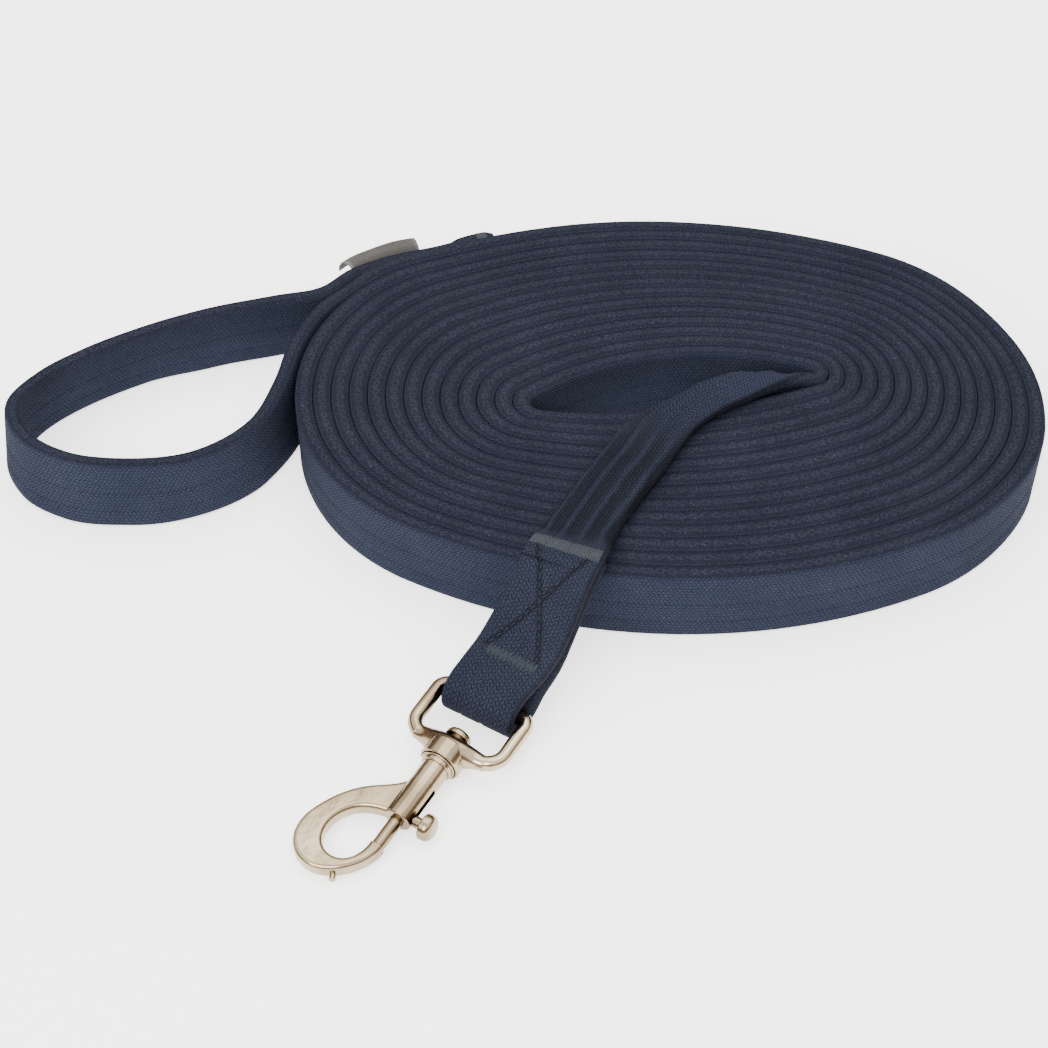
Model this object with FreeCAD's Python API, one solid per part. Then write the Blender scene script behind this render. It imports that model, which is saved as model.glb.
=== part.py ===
import FreeCAD, Part
import math
import os
from FreeCAD import Placement, Rotation, Vector

os.makedirs("parts", exist_ok=True)

# Training leash, in millimetres, +Z up, lying on the plane z = 0.
# The strap is wound on edge in a flat oval coil. The layout is drawn about the coil's centre,
# and every solid is moved by SHIFT at the end, so that the origin is under the middle of the whole.

# Webbing
WEB_WIDTH = 25.0
WEB_THICKNESS = 4.5
LAYER_GAP = 0.3                      # air between two layers that only touch
FINE_GAP = 0.1                       # air between two plies that are sewn together
TAIL_WIDTH = 22.4                    # the seams at the snap pull the webbing in
PLY = 4.3                            # webbing pressed by the seams
THREAD = 0.5                         # how far stitching stands proud

# Coil: an oval of four arcs, with an oval slot in the middle
COIL_LEFT = Vector(-44.5, 0, 0)      # centre of the left end's arc
COIL_RIGHT = Vector(43.0, 0, 0)
COIL_LEFT_RADIUS = 68.5
COIL_RIGHT_RADIUS = 71.0
COIL_SIDE_RADIUS = 171.0
SLOT_LEFT = Vector(-46.5, -8.0, 0)
SLOT_RIGHT = Vector(43.5, 4.5, 0)
SLOT_END_RADIUS = 1.2
SLOT_FRONT_RADIUS = 93.0
SLOT_BACK_RADIUS = 77.4
COIL_ROUNDING = 1.8

# Hand loop: the neck follows the coil's left end, and the strap's own end lies outside it.
# Both start on the coil's back arc and end on the left end's arc. Angles are in degrees.
NECK_OFFSET = LAYER_GAP + WEB_THICKNESS / 2
END_PLY_OFFSET = NECK_OFFSET + WEB_THICKNESS + FINE_GAP
NECK_START = 110.0                   # round the back arc's centre
NECK_END = 138.0                     # round the left end's centre
END_PLY_END = 137.0
SEAM_GAP = 0.3                       # between two stretches of the same strap
LOOP_ROUTE = [
    (-97.3, 47.5), (-108.2, 35.3), (-115.8, 17.2), (-120.0, -1.0), (-129.5, -21.0),
    (-146.0, -32.0), (-164.0, -35.2), (-184.0, -32.0), (-197.0, -23.5), (-203.0, -9.5),
    (-196.0, 3.5), (-184.0, 15.0), (-165.0, 26.0), (-145.0, 34.5), (-124.0, 40.5),
    (-107.5, 43.4), (-100.1, 51.3),
]
HANDLE_BARTACK_LENGTH = 3.0
HANDLE_BARTACK_WIDTH = 18.0
LABEL_START = 119.0
LABEL_END = 133.0
LABEL_REACH = 8.5
LABEL_ROOT_GAP = 0.05
LABEL_THICKNESS = 0.6
LABEL_HEIGHT = 22.6

# Snap end: d runs from the eye's bar back along the strap, in plan along TAIL_YAW + 180 degrees
TAIL_YAW = 238.5
BAR_X, BAR_Y, BAR_Z = -54.8, -111.9, 7.85
BAR_RADIUS = 2.1
FOLD_INNER = BAR_RADIUS + 0.25       # radius inside the fold round the eye's bar
FOLD_MIDDLE = FOLD_INNER + PLY / 2
CLIMB_D = 36.0                       # where the strap reaches the coil's top
CLIMB = math.radians(27.6)           # slope of the stitched strap down to the fold
RETURN_CLIMB = math.radians(45.0)    # slope at which the lower ply leaves the fold
FLAT_Z = WEB_WIDTH + LAYER_GAP + PLY / 2   # middle of a ply that lies on the coil
BARTACK_LONG_D = 41.5
BARTACK_SHORT_D = 8.5
RETURN_END_D = 45.0
STEP_DOWN_START_D = 47.0             # where the upper ply steps down off the lower ply's end
STEP_DOWN_END_D = 60.0
STRAP_END_D = 98.0
SLOT_ENTRY = Vector(27.0, -3.5, 0)   # where the strap stands up into the slot
EDGE_RUN = [(29.5, 0.2), (43.0, 3.9)]
EDGE_RUN_HALF_THICKNESS = 1.0        # squeezed between the slot's walls
SLOT_EDGE_RELIEF = 4.0               # width that has already turned down at the slot
SLOT_STRETCH_START = 3.5             # where the strap bends towards the slot
BARTACK_LONG_SIZE = (3.4, 20.8)      # along the strap, across it
BARTACK_SHORT_SIZE = (2.6, 16.4)
CROSS_HALF_LENGTH, CROSS_HALF_WIDTH = 11.5, 8.0
CROSS_HALF_LINE = 0.6
END_BARTACK_INSET = 1.6              # degrees
LOOP_BARTACK_INSET = 3.0

# Snap, drawn along its own axis: x from the eye's bar to the hook's end, y across, z up
SNAP_DROP = 4.4                      # degrees that the axis falls towards the hook's end
EYE_HALF_WIDTH = 14.0
EYE_LENGTH = 18.0
EYE_BAR_CORNER = 3.2
EYE_FRONT_CORNER = 5.2
# The eye's front swells into the collar. Each section: y, middle's x, half depth, half height
EYE_FRONT = [
    (-11.0, 18.0, 2.1, 2.1), (-7.5, 18.2, 2.7, 2.8), (-4.0, 18.8, 3.5, 4.6), (0.0, 19.2, 3.9, 5.5),
    (4.0, 18.8, 3.5, 4.6), (7.5, 18.2, 2.7, 2.8), (11.0, 18.0, 2.1, 2.1),
]
COLLAR_RADIUS = 6.0
COLLAR_EDGE = 0.5
COLLAR_START, COLLAR_END = 18.6, 24.2
COLLAR_HOLE = 2.6
RECESS_RADIUS, RECESS_START = 5.4, 22.6
RIVET_RADIUS = 2.5
RIVET_HEAD_RADIUS = 3.8
RIVET_HEAD_TOP, RIVET_HEAD_END, RIVET_END = 12.9, 15.1, 28.5
RIVET_HEAD_EDGE = 1.5
RIVET_ROOM = 0.3                     # air round the rivet's head, so that the eye can turn
SHANK_LAP = 0.5                      # how far the shank runs up into the head
FLANGE_RADIUS, FLANGE_START, FLANGE_END = 5.1, 22.9, 24.7
FLANGE_EDGE = 0.3
STEP_RADIUS, STEP_START, STEP_END = 4.6, 23.4, 25.9
STEP_EDGE = 0.4
BARREL_RADIUS = 4.0
BARREL_END = 44.6
BARREL_MOUTH_EDGE = 0.7
PIN_RADIUS = 1.9
PIN_BORE = 1.96
PIN_START, PIN_END = 40.6, 53.8
PIN_EDGE = 0.4
PIN_ROOM = 0.15                      # air round the pin where its end meets the hook's tip
PIN_ROOM_START, PIN_ROOM_END = 44.1, 53.85
CHAMBER_START = 28.7
KNOB_X = 42.4
KNOB_NECK_RADIUS = 1.0
KNOB_NECK_START = 0.2                # the neck is set in a hole through the pin's far side
KNOB_STEM_RADIUS = 1.6
KNOB_STEM_START = 4.4
KNOB_RADIUS = 3.7
KNOB_START, KNOB_END = 6.9, 10.3
KNOB_DOME = 1.9
KNOB_INNER_EDGE = 0.5
STEM_LAP = 0.5
KNOB_TRAVEL = 9.0
KNOB_SLOT_HALF = 1.15
KNOB_SLOT_END_GAP = 0.1
HOOK_HALF_THICKNESS = 2.35
HOOK_EDGE = 1.4
HOOK_OUTLINE = [
    (30.5, -2.4), (33.6, -4.0), (36.5, -7.2), (39.4, -11.4), (42.6, -14.9), (46.2, -17.6),
    (50.6, -19.9), (56.0, -21.6), (61.8, -21.0), (66.0, -18.0), (68.2, -13.0), (67.2, -7.4),
    (63.8, -2.6), (59.2, 0.7), (54.0, 2.1),
]
HOOK_INSIDE = [
    (54.0, -1.9), (57.8, -2.4), (61.0, -4.4), (62.4, -8.2), (60.8, -12.2), (56.6, -14.4),
    (51.0, -13.6), (47.0, -10.4), (45.0, -6.0), (44.2, -1.0),
]
LUG_RADIUS, LUG_LENGTH = 0.9, 2.0    # stub left where the casting was broken from its runner
LUG_FOOT = Vector(66.0, -5.6, -0.3)
LUG_WAY = Vector(0.9, 0.45, 0)
SPRING_WIRE = 0.22
SPRING_RADIUS = 1.5
SPRING_TURNS = 8
SPRING_END_GAP = 0.05
CUT_PAST = 2.0                       # how far a cutting shape runs past the metal

# From the coil's centre to the middle of the whole leash's outline
SHIFT = Vector(44.875, 43.375, 0)

Z = Vector(0, 0, 1)
X = Vector(1, 0, 0)
Y = Vector(0, 1, 0)


def unit(angle):
    """Direction in plan at an angle in degrees."""
    return Vector(math.cos(math.radians(angle)), math.sin(math.radians(angle)), 0)


def arc_by_angles(centre, radius, start, end):
    """Arc in plan, anticlockwise from start to end in degrees."""
    circle = Part.Circle(centre, Z, radius)
    return Part.Arc(circle, math.radians(start), math.radians(end)).toShape()


def heading(v):
    return math.degrees(math.atan2(v.y, v.x))


def side_centre(left, right, left_radius, right_radius, side_radius, side):
    """Centre of the large arc that both end arcs lie inside and touch. side is +1 for the back."""
    span = right - left
    length = span.Length
    along = span * (1 / length)
    across = Vector(-along.y, along.x, 0)
    a = side_radius - left_radius
    b = side_radius - right_radius
    run = (a * a - b * b + length * length) / (2 * length)
    return left + along * run - across * side * math.sqrt(a * a - run * run)


def oval(left, right, left_radius, right_radius, front_radius, back_radius):
    """Closed oval wire of four tangent arcs."""
    front = side_centre(left, right, left_radius, right_radius, front_radius, -1)
    back = side_centre(left, right, left_radius, right_radius, back_radius, 1)
    front_left = heading(left - front)
    front_right = heading(right - front)
    back_right = heading(right - back)
    back_left = heading(left - back)
    return Part.Wire([
        arc_by_angles(front, front_radius, front_left, front_right),
        arc_by_angles(right, right_radius, front_right, back_right),
        arc_by_angles(back, back_radius, back_right, back_left),
        arc_by_angles(left, left_radius, back_left, front_left + 360),
    ])


def rounded_route(points):
    """Straight runs joined by tangent arcs, each as large as its runs allow: a list of runs."""
    nodes = [Vector(x, y, 0) for x, y in points]
    runs = []
    start = nodes[0]
    for before, corner, after in zip(nodes, nodes[1:], nodes[2:]):
        incoming = (corner - before).normalize()
        outgoing = (after - corner).normalize()
        turn = math.radians(heading(outgoing) - heading(incoming))
        turn = math.atan2(math.sin(turn), math.cos(turn))
        reach = 0.45 * min((corner - before).Length, (after - corner).Length)
        radius = reach / math.tan(abs(turn) / 2)
        side = math.copysign(1, turn)
        arc_start = corner - incoming * reach
        arc_end = corner + outgoing * reach
        centre = arc_start + Vector(-incoming.y, incoming.x, 0) * side * radius
        runs.append(("line", start, arc_start))
        runs.append(("arc", centre, radius, arc_start, arc_end, side))
        start = arc_end
    runs.append(("line", start, nodes[-1]))
    return runs


def beside(runs, offset):
    """Edges parallel to a route, offset to its left."""
    edges = []
    for run in runs:
        if run[0] == "line":
            along = (run[2] - run[1]).normalize()
            left = Vector(-along.y, along.x, 0) * offset
            edges.append(Part.LineSegment(run[1] + left, run[2] + left).toShape())
        else:
            centre, radius, start, end, side = run[1:]
            scale = (radius - side * offset) / radius
            first = centre + (start - centre) * scale
            last = centre + (end - centre) * scale
            middle = (first - centre) + (last - centre)
            middle = centre + middle.normalize() * (radius * scale)
            edges.append(Part.Arc(first, middle, last).toShape())
    return edges


def strip(points, thickness, height):
    """Strap of even thickness along a route in plan, height tall from z = 0."""
    runs = rounded_route(points)
    left = beside(runs, thickness / 2)
    right = beside(runs, -thickness / 2)
    start = Part.LineSegment(right[0].Vertexes[0].Point, left[0].Vertexes[0].Point).toShape()
    end = Part.LineSegment(left[-1].Vertexes[-1].Point, right[-1].Vertexes[-1].Point).toShape()
    wire = Part.Wire(Part.__sortEdges__(left + right + [start, end]))
    return Part.Face(wire).extrude(Z * height)


def ring_sector(centre, radius, thickness, start, end, height):
    """Strap that follows part of a circle in plan."""
    inner = arc_by_angles(centre, radius - thickness / 2, start, end)
    outer = arc_by_angles(centre, radius + thickness / 2, start, end)
    caps = []
    for angle in (start, end):
        inside = centre + unit(angle) * (radius - thickness / 2)
        outside = centre + unit(angle) * (radius + thickness / 2)
        caps.append(Part.LineSegment(inside, outside).toShape())
    wire = Part.Wire(Part.__sortEdges__([inner, outer] + caps))
    return Part.Face(wire).extrude(Z * height)


def block(x0, x1, y0, y1, z0, z1):
    return Part.makeBox(x1 - x0, y1 - y0, z1 - z0, Vector(x0, y0, z0))


def soften(shape, radius):
    """Round the long edges of a strap that stands on edge."""
    level = [e for e in shape.Edges if abs(e.BoundBox.ZMax - e.BoundBox.ZMin) < 1e-6]
    return shape.makeFillet(radius, level)


# Strap on the coil ---------------------------------------------------------------------------

def webbing_coil():
    outer = oval(COIL_LEFT, COIL_RIGHT, COIL_LEFT_RADIUS, COIL_RIGHT_RADIUS,
                 COIL_SIDE_RADIUS, COIL_SIDE_RADIUS)
    slot = oval(SLOT_LEFT, SLOT_RIGHT, SLOT_END_RADIUS, SLOT_END_RADIUS,
                SLOT_FRONT_RADIUS, SLOT_BACK_RADIUS)
    slab = soften(Part.Face(outer).extrude(Z * WEB_WIDTH), COIL_ROUNDING)
    cutter = Part.Face(slot).extrude(Z * (WEB_WIDTH + CUT_PAST))
    cutter.translate(-Z * CUT_PAST / 2)
    return slab.cut(cutter)


def tail_on_edge():
    start = Vector(EDGE_RUN[0][0], EDGE_RUN[0][1], 0)
    end = Vector(EDGE_RUN[1][0], EDGE_RUN[1][1], 0)
    length = (end - start).Length
    half = EDGE_RUN_HALF_THICKNESS
    slab = block(0, length, -half, half, LAYER_GAP, WEB_WIDTH)
    slab.Placement = Placement(start, Rotation(Z, heading(end - start)))
    return slab


# Hand loop -----------------------------------------------------------------------------------

def beside_coil(offset, thickness, start, end, height):
    """Strap along the coil's back left: start is round the back arc, end round the left end."""
    back = side_centre(COIL_LEFT, COIL_RIGHT, COIL_LEFT_RADIUS, COIL_RIGHT_RADIUS,
                       COIL_SIDE_RADIUS, 1)
    meeting = heading(COIL_LEFT - back)
    along_back = ring_sector(back, COIL_SIDE_RADIUS + offset, thickness, start, meeting, height)
    along_end = ring_sector(COIL_LEFT, COIL_LEFT_RADIUS + offset, thickness, meeting, end, height)
    return along_back.fuse(along_end).removeSplitter()


def at_coil_end(offset, thickness, start, end, height):
    """Strap along the coil's left end only."""
    return ring_sector(COIL_LEFT, COIL_LEFT_RADIUS + offset, thickness, start, end, height)


def handle_neck():
    gap = math.degrees(SEAM_GAP / COIL_LEFT_RADIUS)
    return beside_coil(NECK_OFFSET, WEB_THICKNESS, NECK_START, NECK_END - gap, WEB_WIDTH)


def handle_loop():
    return strip(LOOP_ROUTE, WEB_THICKNESS, WEB_WIDTH)


def handle_end_ply():
    gap = math.degrees(2 * SEAM_GAP / COIL_LEFT_RADIUS)
    return beside_coil(END_PLY_OFFSET, WEB_THICKNESS, NECK_START, END_PLY_END - gap, WEB_WIDTH)


def handle_bartacks():
    """Two bars of thread on the outer ply: one at the strap's folded end, one at the loop."""
    back = side_centre(COIL_LEFT, COIL_RIGHT, COIL_LEFT_RADIUS, COIL_RIGHT_RADIUS,
                       COIL_SIDE_RADIUS, 1)
    face = END_PLY_OFFSET + WEB_THICKNESS / 2 + THREAD / 2
    bars = []
    places = (
        (back, COIL_SIDE_RADIUS, NECK_START + END_BARTACK_INSET),
        (COIL_LEFT, COIL_LEFT_RADIUS, END_PLY_END - LOOP_BARTACK_INSET),
    )
    for centre, radius, angle in places:
        half = math.degrees(HANDLE_BARTACK_LENGTH / 2 / radius)
        bar = ring_sector(centre, radius + face, THREAD, angle - half, angle + half,
                          HANDLE_BARTACK_WIDTH)
        bar.translate(Z * (WEB_WIDTH - HANDLE_BARTACK_WIDTH) / 2)
        bars.append(bar)
    return Part.Compound(bars)


def label_tab():
    inner = END_PLY_OFFSET + WEB_THICKNESS / 2 + LABEL_ROOT_GAP
    tab = at_coil_end(inner + LABEL_REACH / 2, LABEL_REACH, LABEL_START, LABEL_END,
                      LABEL_THICKNESS)
    tab.translate(Z * LABEL_HEIGHT)
    return tab


# Strap at the snap ---------------------------------------------------------------------------

def stand_up(profile_shape):
    """Take a shape drawn as (d, height) with its width along +Z, and set it over the strap's line."""
    profile_shape.translate(-Z * TAIL_WIDTH / 2)
    profile_shape.rotate(Vector(), X, 90)
    profile_shape.rotate(Vector(), Z, TAIL_YAW + 180)
    profile_shape.translate(Vector(BAR_X, BAR_Y, 0))
    return profile_shape


def upper_height(d):
    """Height of the upper ply's middle above the floor, on the slope that leaves the fold."""
    return BAR_Z + FOLD_MIDDLE / math.cos(CLIMB) + math.tan(CLIMB) * d


def snap_strap():
    leave = -FOLD_MIDDLE * math.sin(CLIMB) + FINE_GAP
    route = [
        (leave, upper_height(leave)), (CLIMB_D, upper_height(CLIMB_D)),
        (STEP_DOWN_START_D, FLAT_Z + PLY), (STEP_DOWN_END_D, FLAT_Z + FINE_GAP),
        (STRAP_END_D, FLAT_Z),
    ]
    return stand_up(strip(route, PLY - FINE_GAP, TAIL_WIDTH))


def snap_strap_return():
    """Lower ply: it leaves the fold steeply, meets the upper ply and follows it to the coil."""
    below = PLY / math.cos(CLIMB)
    leave = FOLD_MIDDLE * math.sin(RETURN_CLIMB) + FINE_GAP
    leave_height = BAR_Z - FOLD_MIDDLE / math.cos(RETURN_CLIMB) + math.tan(RETURN_CLIMB) * leave
    rise = upper_height(0) - below - leave_height + math.tan(RETURN_CLIMB) * leave
    meet = rise / (math.tan(RETURN_CLIMB) - math.tan(CLIMB))
    top = CLIMB_D + (below - PLY) / math.tan(CLIMB)
    route = [
        (leave, leave_height), (meet, upper_height(meet) - below),
        (top, FLAT_Z), (RETURN_END_D, FLAT_Z),
    ]
    return stand_up(strip(route, PLY - LAYER_GAP - FINE_GAP, TAIL_WIDTH))


def snap_strap_fold():
    bend = ring_sector(Vector(), FOLD_MIDDLE, PLY, 90 + math.degrees(CLIMB),
                       270 + math.degrees(RETURN_CLIMB), TAIL_WIDTH)
    bend.translate(Vector(0, BAR_Z, 0))
    return stand_up(bend)


def strap_over_slot():
    """Flat stretch on the coil's top, from the straight strap to where it stands on edge."""
    back = unit(TAIL_YAW + 180)
    start = Vector(BAR_X, BAR_Y, 0) + back * (STRAP_END_D + SEAM_GAP)
    length = (SLOT_ENTRY - start).Length
    slab = block(SLOT_STRETCH_START, length, SLOT_EDGE_RELIEF - TAIL_WIDTH / 2, TAIL_WIDTH / 2,
                 0, PLY)
    lie = Rotation(Z, heading(SLOT_ENTRY - start))
    slab.Placement = Placement(start + Z * (WEB_WIDTH + LAYER_GAP), lie)
    return slab


def on_slope(shape, d):
    """Lay a thin shape, drawn about the origin, on the strap's top face at distance d."""
    climb = math.degrees(CLIMB)
    height = upper_height(d) + PLY / 2 / math.cos(CLIMB)
    if d > CLIMB_D:
        climb = 0
        height = FLAT_Z + PLY + PLY / 2
    shape.rotate(Vector(), Y, -climb)
    shape.rotate(Vector(), Z, TAIL_YAW + 180)
    shape.translate(Vector(BAR_X, BAR_Y, height) + unit(TAIL_YAW + 180) * d)
    return shape


def snap_bartacks():
    bars = []
    for size, d in ((BARTACK_LONG_SIZE, BARTACK_LONG_D), (BARTACK_SHORT_SIZE, BARTACK_SHORT_D)):
        along, across = size[0] / 2, size[1] / 2
        bars.append(on_slope(block(-along, along, -across, across, 0, THREAD), d))
    return Part.Compound(bars)


def snap_cross_stitching():
    middle = (BARTACK_SHORT_D + CLIMB_D) / 2
    reach = math.hypot(CROSS_HALF_LENGTH, CROSS_HALF_WIDTH)
    turn = math.degrees(math.atan2(CROSS_HALF_WIDTH, CROSS_HALF_LENGTH))
    bars = []
    for sign in (-1, 1):
        bar = block(-reach, reach, -CROSS_HALF_LINE, CROSS_HALF_LINE, 0, THREAD)
        bar.rotate(Vector(), Z, sign * turn)
        bars.append(bar)
    return on_slope(bars[0].fuse(bars[1]).removeSplitter(), middle)


# Snap ----------------------------------------------------------------------------------------

def in_place(shape):
    """Move a shape from the snap's own axes to where the snap lies."""
    tilt = Rotation(Y, SNAP_DROP)
    turn = Rotation(Z, TAIL_YAW)
    lie = Placement(Vector(BAR_X, BAR_Y, BAR_Z), turn.multiply(tilt))
    shape.Placement = lie.multiply(shape.Placement)
    return shape


def rod(x0, x1, radius):
    """Cylinder along the snap's axis."""
    return Part.makeCylinder(radius, x1 - x0, Vector(x0, 0, 0), X)


def swivel_eye():
    w = EYE_HALF_WIDTH
    near = EYE_BAR_CORNER
    far = EYE_FRONT_CORNER
    path = Part.Wire([
        Part.LineSegment(Vector(0, near - w, 0), Vector(0, w - near, 0)).toShape(),
        arc_by_angles(Vector(near, w - near, 0), near, 90, 180),
        Part.LineSegment(Vector(near, w, 0), Vector(EYE_LENGTH - far, w, 0)).toShape(),
        arc_by_angles(Vector(EYE_LENGTH - far, w - far, 0), far, 0, 90),
        Part.LineSegment(Vector(EYE_LENGTH, w - far, 0), Vector(EYE_LENGTH, far - w, 0)).toShape(),
        arc_by_angles(Vector(EYE_LENGTH - far, far - w, 0), far, 270, 360),
        Part.LineSegment(Vector(EYE_LENGTH - far, -w, 0), Vector(near, -w, 0)).toShape(),
        arc_by_angles(Vector(near, near - w, 0), near, 180, 270),
    ])
    section = Part.Wire([Part.Circle(Vector(), Y, BAR_RADIUS).toShape()])
    ring = path.makePipeShell([section], True, True)
    sections = []
    for y, x, depth, height in EYE_FRONT:
        long_way = Vector(x, y, max(depth, height))
        round_way = Vector(x + min(depth, height), y, 0)
        if height > depth:
            curve = Part.Ellipse(long_way, round_way, Vector(x, y, 0))
        else:
            curve = Part.Circle(Vector(x, y, 0), Y, depth)
        sections.append(Part.Wire([curve.toShape()]))
    front = Part.makeLoft(sections, True)
    collar = rod(COLLAR_START, COLLAR_END, COLLAR_RADIUS)
    rims = [e for e in collar.Edges if isinstance(e.Curve, Part.Circle)]
    collar = collar.makeFillet(COLLAR_EDGE, rims)
    eye = ring.fuse([front, collar])
    eye = eye.cut(rod(RIVET_HEAD_END, COLLAR_END + CUT_PAST, COLLAR_HOLE))
    eye = eye.cut(rod(RIVET_HEAD_TOP - CUT_PAST, RIVET_HEAD_END + RIVET_ROOM,
                      RIVET_HEAD_RADIUS + RIVET_ROOM))
    return in_place(eye.cut(rod(RECESS_START, COLLAR_END + CUT_PAST, RECESS_RADIUS)))


def swivel_rivet():
    shank = rod(RIVET_HEAD_END - SHANK_LAP, RIVET_END, RIVET_RADIUS)
    head = rod(RIVET_HEAD_TOP, RIVET_HEAD_END, RIVET_HEAD_RADIUS)
    rim = [e for e in head.Edges if abs(e.BoundBox.XMax - RIVET_HEAD_TOP) < 1e-3]
    head = head.makeFillet(RIVET_HEAD_EDGE, rim)
    return in_place(head.fuse(shank).removeSplitter())


def hook_plate():
    """Flat cast hook: a thick plate between an outer and an inner curve, with rounded edges."""
    outside = Part.BSplineCurve()
    outside.interpolate([Vector(x, y, 0) for x, y in HOOK_OUTLINE])
    inside = Part.BSplineCurve()
    inside.interpolate([Vector(x, y, 0) for x, y in HOOK_INSIDE])
    tip = Part.LineSegment(outside.EndPoint, inside.StartPoint).toShape()
    root = Part.LineSegment(inside.EndPoint, outside.StartPoint).toShape()
    face = Part.Face(Part.Wire([outside.toShape(), tip, inside.toShape(), root]))
    plate = face.extrude(Z * 2 * HOOK_HALF_THICKNESS)
    plate.translate(-Z * HOOK_HALF_THICKNESS)
    rims = []
    for edge in plate.Edges:
        level = abs(edge.BoundBox.ZMax - edge.BoundBox.ZMin) < 1e-6
        long_enough = edge.Length > 10 * HOOK_EDGE
        if level and long_enough:
            rims.append(edge)
    return plate.makeFillet(HOOK_EDGE, rims)


def round_rims(shape, radius):
    """Round every circular edge."""
    return shape.makeFillet(radius, [e for e in shape.Edges if isinstance(e.Curve, Part.Circle)])


def hook_casting():
    barrel = rod(FLANGE_END, BARREL_END, BARREL_RADIUS)
    mouth = [e for e in barrel.Edges if abs(e.BoundBox.XMin - BARREL_END) < 1e-3]
    barrel = barrel.makeFillet(BARREL_MOUTH_EDGE, mouth)
    flange = round_rims(rod(FLANGE_START, FLANGE_END, FLANGE_RADIUS), FLANGE_EDGE)
    ring = round_rims(rod(STEP_START, STEP_END, STEP_RADIUS), STEP_EDGE)
    lug = Part.makeCylinder(LUG_RADIUS, LUG_LENGTH, LUG_FOOT, LUG_WAY)
    body = barrel.fuse([flange, ring, hook_plate(), lug])
    body = body.cut(rod(FLANGE_START - CUT_PAST, RIVET_END, RIVET_RADIUS))
    body = body.cut(rod(CHAMBER_START, BARREL_END + CUT_PAST / 2, PIN_BORE))
    slot_start = KNOB_X - KNOB_TRAVEL - KNOB_SLOT_HALF - KNOB_SLOT_END_GAP
    slot = block(slot_start, KNOB_X + KNOB_SLOT_HALF, 0, BARREL_RADIUS + CUT_PAST,
                 -KNOB_SLOT_HALF, KNOB_SLOT_HALF)
    body = body.cut(slot)
    room = rod(PIN_ROOM_START, PIN_ROOM_END, PIN_RADIUS + PIN_ROOM)
    return in_place(body.cut(room))


def bolt_pin():
    pin = round_rims(rod(PIN_START, PIN_END, PIN_RADIUS), PIN_EDGE)
    hole = Part.makeCylinder(KNOB_NECK_RADIUS, KNOB_END, Vector(KNOB_X, KNOB_NECK_START, 0), Y)
    return in_place(pin.cut(hole))


def thumb_knob():
    foot = Vector(KNOB_X, 0, 0)
    neck = Part.makeCylinder(KNOB_NECK_RADIUS, KNOB_STEM_START, foot + Y * KNOB_NECK_START, Y)
    stem = Part.makeCylinder(KNOB_STEM_RADIUS, KNOB_START - KNOB_STEM_START + STEM_LAP,
                             foot + Y * KNOB_STEM_START, Y)
    disc = Part.makeCylinder(KNOB_RADIUS, KNOB_END - KNOB_START, foot + Y * KNOB_START, Y)
    outer = [e for e in disc.Edges if abs(e.BoundBox.YMin - KNOB_END) < 1e-3]
    disc = disc.makeFillet(KNOB_DOME, outer)
    inner = [e for e in disc.Edges if abs(e.BoundBox.YMax - KNOB_START) < 1e-3]
    disc = disc.makeFillet(KNOB_INNER_EDGE, inner)
    return in_place(disc.fuse([neck, stem]).removeSplitter())


def bolt_spring():
    start = CHAMBER_START + SPRING_WIRE + SPRING_END_GAP
    length = PIN_START - start - SPRING_WIRE - SPRING_END_GAP
    helix = Part.makeHelix(length / SPRING_TURNS, length, SPRING_RADIUS)
    section = Part.Wire([Part.Circle(Vector(SPRING_RADIUS, 0, 0), Y, SPRING_WIRE).toShape()])
    spring = Part.Wire(helix).makePipeShell([section], True, True)
    spring.rotate(Vector(), Y, 90)
    spring.translate(Vector(start, 0, 0))
    return in_place(spring)


PIECES = [
    webbing_coil, tail_on_edge, strap_over_slot, snap_strap, snap_strap_return, snap_strap_fold,
    snap_bartacks, snap_cross_stitching, handle_neck, handle_loop, handle_end_ply,
    handle_bartacks, label_tab, swivel_eye, swivel_rivet, hook_casting, bolt_pin, thumb_knob,
    bolt_spring,
]

outline = FreeCAD.BoundBox()
for piece in PIECES:
    solid = piece()
    solid.translate(SHIFT)
    outline.add(solid.BoundBox)
    name = piece.__name__
    print(name, "valid", solid.isValid(), "solids", len(solid.Solids), "volume", round(solid.Volume, 1))
    solid.exportStep("parts/" + name + ".step")

print("whole", [round(v, 2) for v in (outline.XMin, outline.YMin, outline.ZMin)],
      [round(v, 2) for v in (outline.XMax, outline.YMax, outline.ZMax)])
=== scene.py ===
import math

import bpy
import numpy as np
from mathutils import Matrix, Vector


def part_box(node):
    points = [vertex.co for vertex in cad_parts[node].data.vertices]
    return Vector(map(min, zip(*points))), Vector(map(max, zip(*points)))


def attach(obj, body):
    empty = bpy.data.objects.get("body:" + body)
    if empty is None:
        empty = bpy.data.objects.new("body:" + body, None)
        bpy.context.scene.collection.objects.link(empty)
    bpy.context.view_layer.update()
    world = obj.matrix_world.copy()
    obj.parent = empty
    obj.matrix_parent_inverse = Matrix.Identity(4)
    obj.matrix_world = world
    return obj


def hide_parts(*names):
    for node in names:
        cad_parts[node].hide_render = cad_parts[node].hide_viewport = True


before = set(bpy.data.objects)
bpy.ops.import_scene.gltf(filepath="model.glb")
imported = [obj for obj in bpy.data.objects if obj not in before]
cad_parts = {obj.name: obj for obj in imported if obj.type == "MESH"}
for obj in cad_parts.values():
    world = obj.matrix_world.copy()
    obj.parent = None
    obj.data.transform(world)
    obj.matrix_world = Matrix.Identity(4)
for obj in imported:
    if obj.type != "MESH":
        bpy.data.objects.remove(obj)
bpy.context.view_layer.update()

# Lengths are in millimetres and angles in degrees, in a layout drawn about the coil's centre.
# to_frame() takes them to metres in the CAD model's frame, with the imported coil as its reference.
MM = 0.001
COIL_LEFT_END = -113.0               # the coil solid's left end in the layout
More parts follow.
